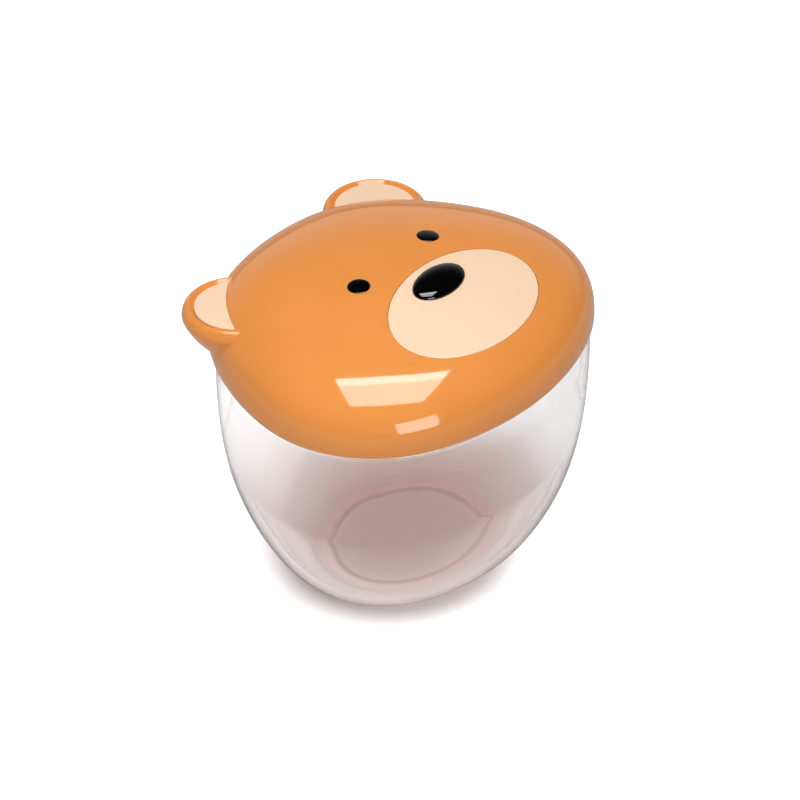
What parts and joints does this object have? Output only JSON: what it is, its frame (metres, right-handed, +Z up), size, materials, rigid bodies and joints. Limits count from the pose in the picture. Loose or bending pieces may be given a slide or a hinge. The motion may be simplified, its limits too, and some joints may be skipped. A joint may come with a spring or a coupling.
{
  "type": "snack container",
  "caption": "Small clear tub with a pull-off lid shaped like a plain bear's head: domed crown, round ears, raised nose, inlaid muzzle and a sealed plug inside.",
  "frame": {"origin": "under the middle of the container, on the surface that the tub stands on", "axes": "+Z up along the lid's lift, -Y towards the chin, +Y towards the ears, X across the face, which is alike on both sides"},
  "size_m": [0.101, 0.0882, 0.0831],
  "materials": {
    "clear_plastic": "clear, polished",
    "orange_plastic": "glossy",
    "satin_orange": "fine satin",
    "beige_plastic": "satin gloss",
    "black_plastic": "glossy",
    "seal_rubber": "soft, matt silicone"
  },
  "bodies": {
    "tub": {"tub": "clear_plastic"},
    "lid": {"lid_shell": "orange_plastic", "muzzle_inlay": "beige_plastic", "nose": "black_plastic", "eye_left": "black_plastic", "eye_right": "black_plastic", "ear_inlay_left": "beige_plastic", "ear_inlay_right": "beige_plastic", "lid_liner": "satin_orange", "seal_ring": "seal_rubber"}
  },
  "joints": [
    {"name": "lid_lift", "type": "slide", "parent": "tub", "child": "lid", "axis": [0, 0, 1], "range_m": [0, 0.03]}
  ]
}
